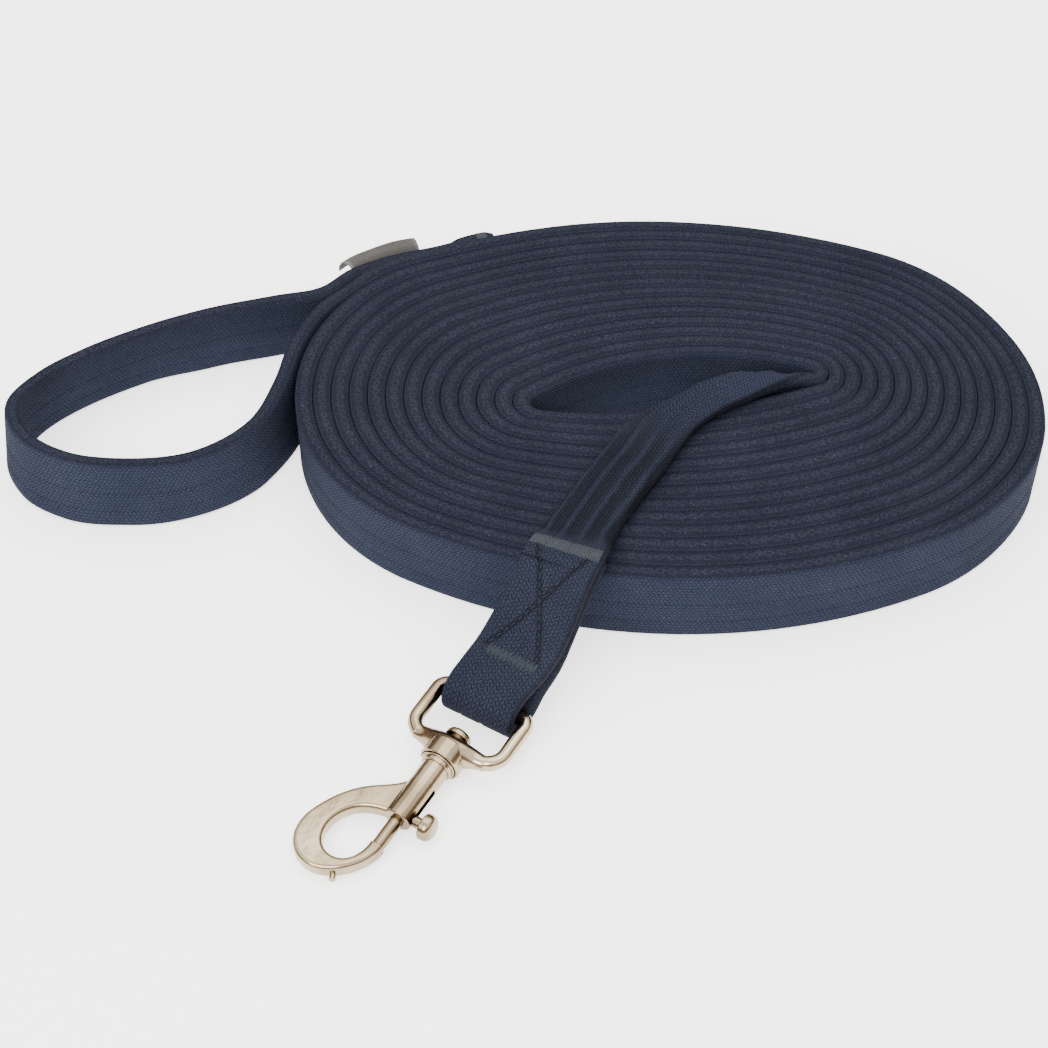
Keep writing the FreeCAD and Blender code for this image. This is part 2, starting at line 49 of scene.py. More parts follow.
coil_low, coil_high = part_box("webbing_coil")
ORIGIN = np.array([
    coil_low[0] - COIL_LEFT_END * MM,
    (coil_low[1] + coil_high[1]) / 2,
    0.0,
])

WEB_WIDTH = 25.0
WEB_THICKNESS = 4.5
UP = np.array([0.0, 0.0, 1.0])


# Geometry helpers --------------------------------------------------------------------------

def smooth(t):
    """0 below 0, 1 above 1, and an even S between."""
    t = np.clip(t, 0.0, 1.0)
    return t * t * (3.0 - 2.0 * t)


def unit(angle):
    """Level direction at an angle in degrees."""
    a = math.radians(angle)
    return np.array([math.cos(a), math.sin(a), 0.0])


def hermite(points, values, step):
    """Smooth curve through points, with values carried along it: arrays sampled every step."""
    points = np.asarray(points, float)
    values = np.asarray(values, float)
    chord = np.linalg.norm(np.diff(points, axis=0), axis=1)
    t = np.concatenate([[0], np.cumsum(chord)])

    def slopes(rows):
        inner = []
        for i in range(1, len(rows) - 1):
            before = (rows[i] - rows[i - 1]) / (t[i] - t[i - 1])
            after = (rows[i + 1] - rows[i]) / (t[i + 1] - t[i])
            share = (t[i + 1] - t[i]) / (t[i + 1] - t[i - 1])
            inner.append(before * share + after * (1 - share))
        first = (rows[1] - rows[0]) / (t[1] - t[0])
        last = (rows[-1] - rows[-2]) / (t[-1] - t[-2])
        return np.array([first] + inner + [last])

    point_slopes = slopes(points)
    out_points, out_values = [], []
    for i in range(len(points) - 1):
        span = t[i + 1] - t[i]
        count = max(2, int(round(span / step)))
        for k in range(count):
            s = k / count
            a = 2 * s**3 - 3 * s**2 + 1
            b = s**3 - 2 * s**2 + s
            c = -2 * s**3 + 3 * s**2
            d = s**3 - s**2
            out_points.append(a * points[i] + b * span * point_slopes[i]
                              + c * points[i + 1] + d * span * point_slopes[i + 1])
            out_values.append(values[i] + (values[i + 1] - values[i]) * smooth(s))
    out_points.append(points[-1])
    out_values.append(values[-1])
    return np.array(out_points), np.array(out_values)


# The strap's line ----------------------------------------------------------------------------
# The strap is followed along its top edge, from the ply stitched under the snap's fold to the
# end sewn at the hand loop. Across it, each station has these values:
#   near, far   direction across the strap at its two edges, in degrees above its left side
#   bend, reach where it turns from one to the other, and over what distance, in mm
#   width       from edge to edge, in mm
#   thick       share of the webbing's full thickness

ON_EDGE = (-90.0, -90.0, 12.0, 12.0)

# The coil. Each turn runs round two end centres, which drift as the turns grow, and bulges
# between them. A centre has its start, its drift, the turns that this takes, and the most of it.
LEFT_CENTRE = ((-39.0, -7.6), (-6.5, 7.6), 12.5, 1.07)
RIGHT_CENTRE = ((43.5, 4.5), (-1.1, -7.2), 13.0, 1.03)
# A bulge has its first size, its change, the turn where it starts, and the turns that it takes.
FRONT_BULGE = (5.7, 4.8, 0.75, 12.0)
BACK_BULGE = (11.2, -2.7, 0.25, 13.0)
FIRST_RADIUS = 3.45                  # from an end centre to the strap's middle
TURN_PITCH = 5.02
COIL_TURNS = 13.33
LOOP_STARTS = (13.33, 13.35, 13.37)  # last stations that follow the coil
LAST_TURN = 13.4
SIDE_RADIUS = 128.0                  # about that of the slot's sides
TURN_GAP = 0.05                      # between the faces of two turns
FULLEST = 1.3                        # share of its thickness that loose webbing swells to
TOP_DROP = 0.35
TOP_WAVES = ((0.2, 5.3, 0.0), (0.15, 11.9, 1.0))    # height, rate and phase
# Distances between stations: tail and loop, then the limits on a turn, its side and its end
TAIL_STEP, LOOP_STEP = 0.7, 1.6
MOST_TURN, SIDE_STEP, END_STEP = 0.0105, 8.0, 2.4
# Where the outer turns lie in or out of an even winding: direction, spread, and how far out
OUTER_SHAPE = ((113.0, 13.0, -2.4), (30.0, 22.0, -1.4), (340.0, 14.0, 0.7))
OUTER_FROM, OUTER_OVER = 8.0, 5.3    # turn where that starts, and turns until it is whole


def uneven(u, phi):
    """How far outer turns lie out of an even winding."""
    total = 0.0
    for place, spread, out in OUTER_SHAPE:
        away = (phi - place + 180.0) % 360.0 - 180.0
        total += out * math.exp(-(away / spread) ** 2)
    return total * float(smooth((u - OUTER_FROM) / OUTER_OVER))


def drifted(centre, u):
    """Place of one end centre after u turns."""
    start, drift, turns, most = centre
    return np.array(start) + np.array(drift) * min(u / turns, most)


def bulge_at(bulge, u):
    """How far a turn's side bulges after u turns."""
    first, change, start, turns = bulge
    return first + change * (u - start) / turns


def winding(u, off=0.0):
    """Centreline of the coil after u turns, counted from the slot's right end, and its normal."""
    left = drifted(LEFT_CENTRE, u)
    right = drifted(RIGHT_CENTRE, max(u, 0))
    phi = (u % 1.0) * 360.0
    distance = FIRST_RADIUS + TURN_PITCH * u + off + uneven(u, phi)
    along = right - left
    half = np.hypot(*along) / 2
    along = along / (2 * half)
    across = np.array([-along[1], along[0]])

    def side(bulge):
        """Arc through both end centres: its centre's distance, its radius and half its angle."""
        drop = (half**2 - bulge**2) / (2 * bulge)
        return drop, math.hypot(half, drop), math.degrees(math.atan2(half, drop))

    front_drop, front_radius, front_angle = side(bulge_at(FRONT_BULGE, u))
    back_drop, back_radius, back_angle = side(bulge_at(BACK_BULGE, u))
    normal = np.array([math.cos(math.radians(phi)), math.sin(math.radians(phi))])
    if abs(phi - 90) <= back_angle:
        centre, radius = np.array([0, -back_drop]), back_radius
    elif abs(phi - 270) <= front_angle:
        centre, radius = np.array([0, front_drop]), front_radius
    elif 90 < phi < 270:
        centre, radius = np.array([-half, 0]), 0.0
    else:
        centre, radius = np.array([half, 0]), 0.0
    point = centre + (radius + distance) * normal
    place = (left + right) / 2 + along * point[0] + across * point[1]
    return place, along * normal[0] + across * normal[1]


def turn_top(u):
    """Height of a turn's top edge: wound by hand, so no two turns are quite level."""
    waves = sum(high * math.sin(rate * u + phase) for high, rate, phase in TOP_WAVES)
    return WEB_WIDTH - TOP_DROP + waves


def on_winding(u, off=0.0, top=None):
    """Point of the strap's top edge after u turns."""
    place, _ = winding(u, off)
    if top is None:
        top = turn_top(u)
    return [place[0], place[1], top]


# The stitched strap runs straight from the swivel eye's bar. d is the distance from that bar.
BAR = np.array([-54.8, -111.9, 7.85])
STRAP_HEADING = unit(58.5)
STRAP_LEFT = unit(148.5)
# d, then the right and the left edge, both measured to the left of the strap's line
SEWN_EDGES = np.array([
    (0, -11.2, 11.2), (6, -13.2, 9.9), (12, -14.8, 8.8), (20, -14.6, 8.7), (30, -13.3, 9.0),
    (40, -12.2, 9.4), (46, -11.2, 9.8), (52, -9.4, 10.4), (58, -8.2, 11.0), (66, -7.4, 11.6),
    (76, -7.0, 12.0), (86, -7.2, 12.2),
])


def over_bar(d, height):
    """A point of the stitched strap's right edge, d from the bar, at a height over the floor."""
    side = np.interp(d, SEWN_EDGES[:, 0], SEWN_EDGES[:, 1])
    return list(BAR * [1, 1, 0] + STRAP_HEADING * d + STRAP_LEFT * side + UP * height)


def sewn_width(d):
    """Width of the stitched strap, d from the bar."""
    return float(np.interp(d, SEWN_EDGES[:, 0], SEWN_EDGES[:, 2] - SEWN_EDGES[:, 1]))


# The plies at the snap: d, height of the middle, and share of thickness
LOWER_PLY = ((45.0, 27.4, 0.9), (41.0, 27.4, 0.9), (37.0, 26.9, 0.9), (25.0, 21.1, 0.9),
             (14.0, 15.2, 0.9), (8.0, 11.0, 0.9))
FOLD_RADIUS = 4.5
FOLD_ANGLES = (310, 285, 260, 235, 210, 185, 160, 137, 117.6)
PRESSED = 0.93                       # share of thickness where the seams press the webbing
SLOPE = math.radians(27.6)           # of the upper ply down to the fold
SLOPE_D = (2.0, 8.0, 15.0, 22.0, 29.0)
UPPER_PLY = ((34.0, 30.7, 0.93), (38.0, 31.8, 0.93), (42.0, 31.9, 0.93), (47.0, 30.8, 0.95),
             (53.0, 28.9, 1.0), (59.0, 27.7, 1.0), (66.0, 27.4, 1.0), (76.0, 27.3, 1.0),
             (86.0, 27.3, 1.0))
# The single ply arches across its width: angle, and the d where it starts and the d it takes
ARCH, ARCH_FROM, ARCH_OVER = 12.0, 46.0, 14.0
ARCH_NEAR, ARCH_FAR, ARCH_BEND, ARCH_REACH = 0.6, -0.8, 10.0, 9.5
# Where the tail turns from flat to on edge: place, then the values listed above
TWIST = (
    ((1.2, -33.2, 27.3), (12.0, -18.0, 9.5, 8.0, 19.6, 1.0)),
    ((6.2, -25.0, 27.3), (16.0, -45.0, 9.7, 6.0, 20.2, 1.0)),
    ((14.8, -16.8, 27.3), (14.0, -78.0, 10.5, 4.5, 21.2, 1.0)),
    ((25.2, -9.8, 26.9), (8.0, -88.0, 10.3, 4.0, 22.4, 1.0)),
    ((33.3, -4.0, 26.1), (-5.0, -90.0, 7.5, 3.6, 23.5, 1.0)),
    ((39.6, -0.2, 25.3), (-35.0, -90.0, 4.0, 3.2, 24.5, 1.0)),
    ((43.4, 1.9, 25.0), (-75.0, -90.0, 3.0, 3.0, 25.0, 1.0)),
)
COIL_ENTRY = (-0.11, -0.05, 0.0)     # turns at the tail's last stations


def snap_end():
    """Lower ply, fold round the bar, upper ply, and the tail as far as the coil's slot."""
    rows = list(LOWER_PLY)
    for angle in FOLD_ANGLES:
        a = math.radians(angle)
        rows.append((FOLD_RADIUS * math.cos(a), BAR[2] + FOLD_RADIUS * math.sin(a), PRESSED))
    for d in SLOPE_D:
        height = BAR[2] + FOLD_RADIUS / math.cos(SLOPE) + math.tan(SLOPE) * d
        rows.append((d, height, PRESSED))
    rows += UPPER_PLY
    points, values = [], []
    for d, height, thick in rows:
        arch = ARCH * float(smooth((d - ARCH_FROM) / ARCH_OVER))
        points.append(over_bar(d, height))
        values.append((ARCH_NEAR * arch, ARCH_FAR * arch, ARCH_BEND, ARCH_REACH,
                       sewn_width(max(d, 0.0)), thick))
    for place, value in TWIST:
        points.append(list(place))
        values.append(value)
    for u in COIL_ENTRY:
        points.append(on_winding(u))
        values.append(ON_EDGE + (turn_top(u), 1.0 if u else fullness(u)))
    return hermite(points, values, TAIL_STEP)


def coil():
    """All the turns, with stations close enough for the tight ends and the long sides."""
    us = []
    u = 0.0
    while u < COIL_TURNS:
        us.append(u)
        radius = FIRST_RADIUS + TURN_PITCH * u
        u += min(MOST_TURN, SIDE_STEP / (2 * math.pi * (SIDE_RADIUS + radius)),
                 END_STEP / (2 * math.pi * radius))
    points = np.array([on_winding(u) for u in us])
    values = np.array([ON_EDGE + (turn_top(u), fullness(u)) for u in us])
    return points, values


def fullness(u):
    """Share of its thickness that a turn takes between its neighbours."""
    room = []
    for other in (u - 1, u + 1):
        if 0 <= other <= LAST_TURN:
            room.append(abs(np.dot(winding(other)[0] - winding(u)[0], winding(u)[1])))
    return min(FULLEST, (min(room) - TURN_GAP) / WEB_THICKNESS)


HANDLE_TOP = 24.8                    # height of the hand loop's top edge
HANDLE_THICK = 1.03
# The loop's top edge, and how far its foot leans to the left of the way it runs
LOOP = [
    ((-99.0, 46.4), 1), ((-108.0, 36.3), 4), ((-115.6, 19.2), 7), ((-119.2, 0.5), 8),
    ((-125.4, -18.0), 1), ((-142.0, -32.2), -2), ((-162.0, -35.2), 2),
    ((-181.4, -31.8), 5), ((-193.8, -23.2), 6), ((-199.2, -9.5), 8), ((-192.0, 3.2), 11),
    ((-181.0, 12.8), 12), ((-165.0, 22.9), 12), ((-145.0, 32.5), 7), ((-124.0, 39.0), 6),
    ((-108.6, 43.6), 3),
]
# The outer ply beside the coil: direction and height of its top edge
OUTER_PLY = ((137, 24.4), (132, 23.4), (126, 22.7), (120, 22.2), (114, 22.0))
OUTER_PLY_OFFSET = 4.7
# The strap's own end, folded over: direction, offset and share of thickness
END_FOLD = ((110.9, 4.7, 1.02), (110.1, 5.3, 1.30), (108.6, 5.6, 1.42), (107.4, 5.5, 1.40),
            (106.8, 5.2, 0.8))
END_TOP = 22.2
FLOOR_GAP = 0.1
OUTER_TURN = 13                      # the whole turns inside the doubled section


def hand_loop():
    """From the coil round the loop, back along the coil's outside, and the folded end."""
    points, values = [], []
    for u in LOOP_STARTS:
        points.append(on_winding(u))
        values.append(ON_EDGE + (turn_top(u), fullness(u)))
    for (x, y), lean in LOOP:
        angle = -90.0 + lean
        points.append([x, y, HANDLE_TOP])
        values.append((angle, angle) + ON_EDGE[2:] + (HANDLE_TOP, HANDLE_THICK))
    for phi, top in OUTER_PLY:
        points.append(on_winding(OUTER_TURN + phi / 360, OUTER_PLY_OFFSET, top))
        values.append(ON_EDGE + (top - FLOOR_GAP, 1.0))
    for phi, off, thick in END_FOLD:
        points.append(on_winding(OUTER_TURN + phi / 360, off, END_TOP))
        values.append(ON_EDGE + (END_TOP - FLOOR_GAP, thick))
    return hermite(points, values, LOOP_STEP)


tail_points, tail_values = snap_end()
coil_points, coil_values = coil()
loop_points, loop_values = hand_loop()
EDGE = np.concatenate([tail_points[:-1], coil_points[:-1], loop_points])
VALUES = np.concatenate([tail_values[:-1], coil_values[:-1], loop_values])

ALONG = np.concatenate([[0], np.cumsum(np.linalg.norm(np.diff(EDGE, axis=0), axis=1))])
TANGENT = np.gradient(EDGE, ALONG, axis=0)
TANGENT /= np.linalg.norm(TANGENT, axis=1)[:, None]
# The first station over this height is on the upper ply. Up to there the strap turns in a
# vertical plane, and its left side is known. From there on, left is level and square to it.
ON_UPPER_PLY = 31.0
PAST_FOLD = int(np.argmax(EDGE[:, 2] > ON_UPPER_PLY))
UPPER_STATIONS = 60                  # stations of the upper ply before that one
LEFT = np.stack([-TANGENT[:, 1], TANGENT[:, 0], np.zeros(len(EDGE))], axis=1)
LEFT /= np.maximum(np.linalg.norm(LEFT, axis=1), 1e-9)[:, None]
LEFT[:PAST_FOLD] = STRAP_LEFT
OVER = np.cross(TANGENT, LEFT)
OVER /= np.linalg.norm(OVER, axis=1)[:, None]

# Stations across the strap, as shares of its width from the top edge
ACROSS = np.array([0, 0.004, 0.012, 0.028, 0.06, 0.12, 0.23, 0.34, 0.40, 0.44, 0.48, 0.56,
                   0.665, 0.70, 0.735, 0.77, 0.86, 0.94, 0.972, 0.988, 0.996, 1.0])
GROOVES = ((0.44, 0.30), (0.735, 0.26))  # share of the width, and depth
GROOVE_HALF_WIDTH = 0.02                 # share of the width
EDGE_ROUND = 1.5                         # how far in from its edge the webbing reaches full size
EDGE_POWER, EDGE_ROOT = 2.6, 0.38        # how square that round edge is
FLAT_HALF = WEB_THICKNESS / 2
WIDTH_STEPS = 97


def edge_shape(share):
    """Share of its full thickness that the webbing has at a share of its width."""
    inward = np.clip(1 - np.minimum(share, 1 - share) * WEB_WIDTH / EDGE_ROUND, 0, 1)
    return (1 - inward**EDGE_POWER) ** EDGE_ROOT


def half_thickness(share, thick):
    """Half the webbing's thickness at a share of its width: full round edges, two grooves."""
    half = FLAT_HALF * thick * edge_shape(share)
    for place, drop in GROOVES:
        half = half - drop * np.exp(-((share - place) / GROOVE_HALF_WIDTH) ** 2)
    return half


# Distance over the webbing's surface from the middle of its top edge, at each station
ROUND = FLAT_HALF * edge_shape(ACROSS)
DOWN = ACROSS * WEB_WIDTH + np.where(ACROSS < 0.5, ROUND, 2 * FLAT_HALF - ROUND)
DOWN_MIDDLE = WEB_WIDTH / 2 + FLAT_HALF


def section(i):
    """Both faces of the strap at station i, each from the top edge down."""
    near, far, bend, reach, width, thick = VALUES[i]
    v = np.linspace(0, width, WIDTH_STEPS)
    turn = smooth((v - bend + reach) / (2 * reach))
    angle = np.radians(near + (far - near) * turn)
    mid = np.zeros((len(v), 2))
    dv = v[1] - v[0]
    mid[1:, 0] = np.cumsum((np.cos(angle[1:]) + np.cos(angle[:-1])) / 2) * dv
    mid[1:, 1] = np.cumsum((np.sin(angle[1:]) + np.sin(angle[:-1])) / 2) * dv
    at = ACROSS * width
    sideways = np.interp(at, v, mid[:, 0])
    upwards = np.interp(at, v, mid[:, 1])
    tilt = np.interp(at, v, angle)
    half = half_thickness(ACROSS, thick)
    half[0] = half[-1] = 0.0
    left, over = LEFT[i], OVER[i]
    middle = EDGE[i] + sideways[:, None] * left + upwards[:, None] * over
    normal = -np.sin(tilt)[:, None] * left + np.cos(tilt)[:, None] * over
    return middle + half[:, None] * normal, middle - half[:, None] * normal


def along_upper_ply(d):
    """Distance along the strap of the upper ply's point d from the bar."""
    first = PAST_FOLD - UPPER_STATIONS
    run = (EDGE[first:] - BAR) @ STRAP_HEADING
    return float(ALONG[first + int(np.argmax(run > d))])


def on_face(along, share):
    """A point of the strap's first face, at a share of its width, and the normal there."""
    i = min(int(np.searchsorted(ALONG, along)), len(EDGE) - 1)
    one, other = section(i)
    place = np.array([np.interp(share, ACROSS, one[:, k]) for k in range(3)])
    back = np.array([np.interp(share, ACROSS, other[:, k]) for k in range(3)])
    normal = (place - back) / np.linalg.norm(place - back)
    return place, normal


def to_frame(points):
    """Layout millimetres to metres in the model's frame."""
    return np.asarray(points) * MM + ORIGIN


def mesh_object(name, verts, faces, material, attributes=()):
    """Smooth-shaded mesh with per-vertex values that its material reads."""
    mesh = bpy.data.meshes.new(name)
    mesh.from_pydata([tuple(v) for v in verts], [], faces)
    for label, data in attributes:
        layer = mesh.attributes.new(label, "FLOAT", "POINT")
        layer.data.foreach_set("value", np.asarray(data, np.float32))
    mesh.polygons.foreach_set("use_smooth", [True] * len(mesh.polygons))
    mesh.materials.append(material)
    mesh.update()
    obj = bpy.data.objects.new(name, mesh)
    bpy.context.scene.collection.objects.link(obj)
    return obj


# Materials -----------------------------------------------------------------------------------

class Expression:
    """A value in a node tree that can be added and multiplied like a number."""

    def __init__(self, tree, socket):
        self.tree = tree
        self.socket = socket

    def make(self, operation, *others):
        node = self.tree.nodes.new("ShaderNodeMath")
        node.operation = operation
        for slot, value in enumerate((self,) + others):
            if isinstance(value, Expression):
                self.tree.links.new(value.socket, node.inputs[slot])
            else:
                node.inputs[slot].default_value = value
        return Expression(self.tree, node.outputs[0])

    def __add__(self, other):
        return self.make("ADD", other)

    def __sub__(self, other):
        return self.make("SUBTRACT", other)

    def __mul__(self, other):
        return self.make("MULTIPLY", other)

    def fold(self, size):
        """Runs up to size and back to 0, again and again."""
        return self.make("PINGPONG", size)

    def wave(self):
        """Cosine of this many turns, from -1 to 1."""
        return (self * (2 * math.pi)).make("COSINE")

    def step(self, low, high):
        """Rises smoothly from 0 at low to 1 at high."""
        node = self.tree.nodes.new("ShaderNodeMapRange")
        node.interpolation_type = "SMOOTHSTEP"
        node.inputs["From Min"].default_value = low
        node.inputs["From Max"].default_value = high
        self.tree.links.new(self.socket, node.inputs["Value"])
        return Expression(self.tree, node.outputs["Result"])


def new_material(name, colour, roughness, metallic=0.0):
    material = bpy.data.materials.new(name)
    material.use_nodes = True
    tree = material.node_tree
    shader = tree.nodes["Principled BSDF"]
    shader.inputs["Base Color"].default_value = (*colour, 1)
    shader.inputs["Roughness"].default_value = roughness
    shader.inputs["Metallic"].default_value = metallic
    material.diffuse_color = (*colour, 1)
    return material, tree, shader


def attribute(tree, name):
    node = tree.nodes.new("ShaderNodeAttribute")
    node.attribute_name = name
    return Expression(tree, node.outputs["Fac"])


def noise(tree, scale, detail=2.0, roughness=0.5):
    coords = tree.nodes.new("ShaderNodeTexCoord")
    texture = tree.nodes.new("ShaderNodeTexNoise")
    texture.inputs["Scale"].default_value = scale
    texture.inputs["Detail"].default_value = detail
    texture.inputs["Roughness"].default_value = roughness
    tree.links.new(coords.outputs["Object"], texture.inputs["Vector"])
    return Expression(tree, texture.outputs["Fac"])


def ramp(tree, value, stops):
    node = tree.nodes.new("ShaderNodeValToRGB")
    elements = node.color_ramp.elements
    while len(elements) < len(stops):
        elements.new(0.5)
    for element, (place, colour) in zip(elements, stops):
        element.position = place
        element.color = (*colour, 1)
    tree.links.new(value.socket, node.inputs["Fac"])
    return node.outputs["Color"]


def mix(tree, share, first, second):
    node = tree.nodes.new("ShaderNodeMix")
    node.data_type = "RGBA"
    tree.links.new(share.socket, node.inputs["Factor"])
    tree.links.new(first, node.inputs["A"])
    tree.links.new(second, node.inputs["B"])
    return node.outputs["Result"]


def multiply(tree, first, second):
    node = tree.nodes.new("ShaderNodeMix")
    node.data_type = "RGBA"
    node.blend_type = "MULTIPLY"
    node.inputs["Factor"].default_value = 1.0
    tree.links.new(first, node.inputs["A"])
    tree.links.new(second, node.inputs["B"])
    return node.outputs["Result"]


def bump(tree, shader, height, distance, strength=1.0):
    node = tree.nodes.new("ShaderNodeBump")
    node.inputs["Distance"].default_value = distance
    node.inputs["Strength"].default_value = strength
    tree.links.new(height.socket, node.inputs["Height"])
    tree.links.new(node.outputs["Normal"], shader.inputs["Normal"])


RIB, KNIT = 1.2, 1.25                    # a rib's width, and a stitch's length
EYE_SPACING, EYE_RADIUS = 3.5, 0.95
RIM_INNER, RIM_OUTER = 2.9, 1.9          # distances down a face where the edge's knit ends
RIPPLE = 6.6                             # width of a ripple beyond the crossed seam
RIPPLES_RISE, RIPPLES_FALL = (4, 12), (75, 45)      # distances beyond that seam
# Distances past the crossed seam between which the painted shade along the strap fades out
TAIL_SHADE = (105, 70)
# Shares of the relief, and its full depths in metres
STITCH_SHARE, WALE_SHARE = 0.21, 0.09
EYE_SHARE, RIM_FINE_SHARE, SPECK_SHARE = 0.15, 0.48, 0.34
FINE_SHARE, CREASE_SHARE, RIPPLE_SHARE = 0.3, 1.6, 3.2
KNIT_RELIEF, THREAD_RELIEF, RIBBON_RELIEF = 0.00028, 0.00012, 0.0001
CAST_RELIEF, WIRE_RELIEF = 0.00025, 0.00005
# Colours, as the stops of a ramp
FACE_COLOURS = ((0.16, (0.0064, 0.0084, 0.0150)), (0.5, (0.0160, 0.0198, 0.0335)),
                (0.88, (0.0310, 0.0366, 0.0590)))
RIM_COLOURS = ((0.18, (0.0080, 0.0092, 0.0150)), (0.45, (0.0200, 0.0224, 0.0355)),
               (0.8, (0.0420, 0.0480, 0.0720)))
SLOW_TINT = ((0.3, (0.88, 0.89, 0.91)), (0.7, (1.1, 1.09, 1.08)))
# Painted shade: the darker, warmer colour that the webbing is multiplied by in creases, ripples and
# along the tail
PAINTED_SHADE_TINT = ((0.0, (1.0, 1.0, 1.0)), (0.6, (0.55, 0.50, 0.43)))
PALE_THREAD = ((0.3, (0.019, 0.023, 0.029)), (0.7, (0.046, 0.052, 0.060)))
SUNK_THREAD = ((0.3, (0.009, 0.012, 0.020)), (0.7, (0.020, 0.025, 0.040)))
RIBBON = ((0.3, (0.040, 0.038, 0.035)), (0.7, (0.068, 0.065, 0.060)))
RIBBON_HEM = ((0.2, (0.11, 0.105, 0.10)), (0.8, (0.17, 0.165, 0.155)))
PLATING = ((0.36, (0.20, 0.148, 0.090)), (0.62, (0.43, 0.345, 0.230)))
SPRING_WIRE = ((0.3, (0.36, 0.36, 0.36)), (0.7, (0.58, 0.58, 0.57)))


def webbing_material():
    """Soft knitted webbing: fine herringbone on the faces, a row of small eyes on each edge."""
    material, tree, shader = new_material("webbing", (0.02, 0.026, 0.045), 0.9)
    along = attribute(tree, "along")
    down = attribute(tree, "down")
    warp = noise(tree, 900, 1.0) - 0.5
    slow = noise(tree, 55, 2.0)
    fine = noise(tree, 3400, 2.0)
    rib = down.fold(RIB)
    stitch = (along * (1 / KNIT) + rib * 0.85 + warp * 0.75).wave()
    wale = (down * (1 / RIB) + warp * 0.35).wave()
    face = stitch * STITCH_SHARE + wale * WALE_SHARE + 0.5

    edge = down.fold(DOWN_MIDDLE)
    eye_along = (along + warp * 3.2 + slow * 6.0).make("MODULO", EYE_SPACING)
    eye_along = (eye_along - EYE_SPACING / 2) * 0.85
    eye_down = (edge + warp * 1.2) * 1.3
    ring = (eye_along * eye_along + eye_down * eye_down).make("SQRT")
    eye = (ring - EYE_RADIUS).make("ABSOLUTE").step(0.6, 0.1)
    rim = edge.step(RIM_INNER, RIM_OUTER)    # 1 on the webbing's edges, 0 on its faces
    speck = noise(tree, 2300, 3.0, 0.7).step(0.50, 0.66)
    rim_height = eye * EYE_SHARE + fine * RIM_FINE_SHARE + speck * SPECK_SHARE
    plain = rim * -1.0 + 1.0

    # The seams draw the webbing in: creases along the crossed seam, ripples beyond it
    across = (along - CROSS_START) * (1 / (CROSS_END - CROSS_START))
    lean = across * (2 * CROSS_DOWN) - CROSS_DOWN
    middle = down - DOWN_MIDDLE
    rising = (middle - lean).make("ABSOLUTE")
    falling = (middle + lean).make("ABSOLUTE")
    inside = across.step(-0.02, 0.01) * across.step(1.02, 0.99)
    crease = rising.make("MINIMUM", falling).step(1.5, 0.15) * inside
    beyond = [along.step(CROSS_END + low, CROSS_END + high)
              for low, high in (RIPPLES_RISE, RIPPLES_FALL, TAIL_SHADE)]
    flat = beyond[0] * beyond[1]
    ripple = ((middle + slow * 3.5) * (1 / RIPPLE) + 0.1).wave() * flat
    height = (face * plain + rim_height * rim + fine * FINE_SHARE - crease * CREASE_SHARE
              + ripple * RIPPLE_SHARE)

    face_colour = ramp(tree, face + fine * 0.9 - 0.45, FACE_COLOURS)
    rim_colour = ramp(tree, rim_height, RIM_COLOURS)
    colour = mix(tree, rim, face_colour, rim_colour)
    shade = ramp(tree, slow, SLOW_TINT)
    # Painted shade: darker and warmer in the creases of the crossed seam, in the ripples' troughs,
    # over the rippled stretch, and from the snap end to about 105 mm past the crossed seam
    painted_shade = crease * 0.45 - ripple * 0.20 + flat * 0.20 + beyond[2] * 0.20
    painted_shade = ramp(tree, painted_shade, PAINTED_SHADE_TINT)
    colour = multiply(tree, multiply(tree, colour, shade), painted_shade)
    tree.links.new(colour, shader.inputs["Base Color"])
    shader.inputs["Specular IOR Level"].default_value = 0.04
    bump(tree, shader, height, KNIT_RELIEF)
    return material


def thread_material():
    """Bartack thread is paler than the thread of the crossed seam, which sinks in the webbing."""
    material, tree, shader = new_material("thread", (0.045, 0.05, 0.062), 0.7)
    grain = noise(tree, 3000, 2.0)
    pale = ramp(tree, grain, PALE_THREAD)
    sunk = ramp(tree, grain, SUNK_THREAD)
    tree.links.new(mix(tree, attribute(tree, "tone"), sunk, pale), shader.inputs["Base Color"])
    shader.inputs["Specular IOR Level"].default_value = 0.1
    bump(tree, shader, grain, THREAD_RELIEF, 0.7)
    return material


def label_material():
    """Ribbon, a little lighter along its edge."""
    material, tree, shader = new_material("label", (0.11, 0.105, 0.097), 0.6)
    weave = noise(tree, 1500, 2.0)
    patch = noise(tree, 90, 2.0)
    body = ramp(tree, weave * 0.5 + patch * 0.5, RIBBON)
    pale = ramp(tree, weave, RIBBON_HEM)
    hem = attribute(tree, "hem")
    tree.links.new(mix(tree, hem, body, pale), shader.inputs["Base Color"])
    shader.inputs["Specular IOR Level"].default_value = 0.2
    bump(tree, shader, weave, RIBBON_RELIEF, 0.6)
    return material


def nickel_material():
    """Bright plating, with a slightly uneven cast surface under it."""
    material, tree, shader = new_material("nickel", (0.5, 0.44, 0.36), 0.2, 1.0)
    cast = noise(tree, 260, 3.0)
    haze = noise(tree, 38, 2.0)
    tree.links.new(ramp(tree, haze, PLATING), shader.inputs["Base Color"])
    rough = cast * 0.14 + 0.10
    tree.links.new(rough.socket, shader.inputs["Roughness"])
    bump(tree, shader, cast, CAST_RELIEF, 0.5)
    return material


def steel_material():
    """Drawn wire of the spring."""
    material, tree, shader = new_material("spring_steel", (0.5, 0.5, 0.5), 0.3, 1.0)
    drawn = noise(tree, 900, 2.0)
    tree.links.new(ramp(tree, drawn, SPRING_WIRE), shader.inputs["Base Color"])
    bump(tree, shader, drawn, WIRE_RELIEF, 0.5)
    return material


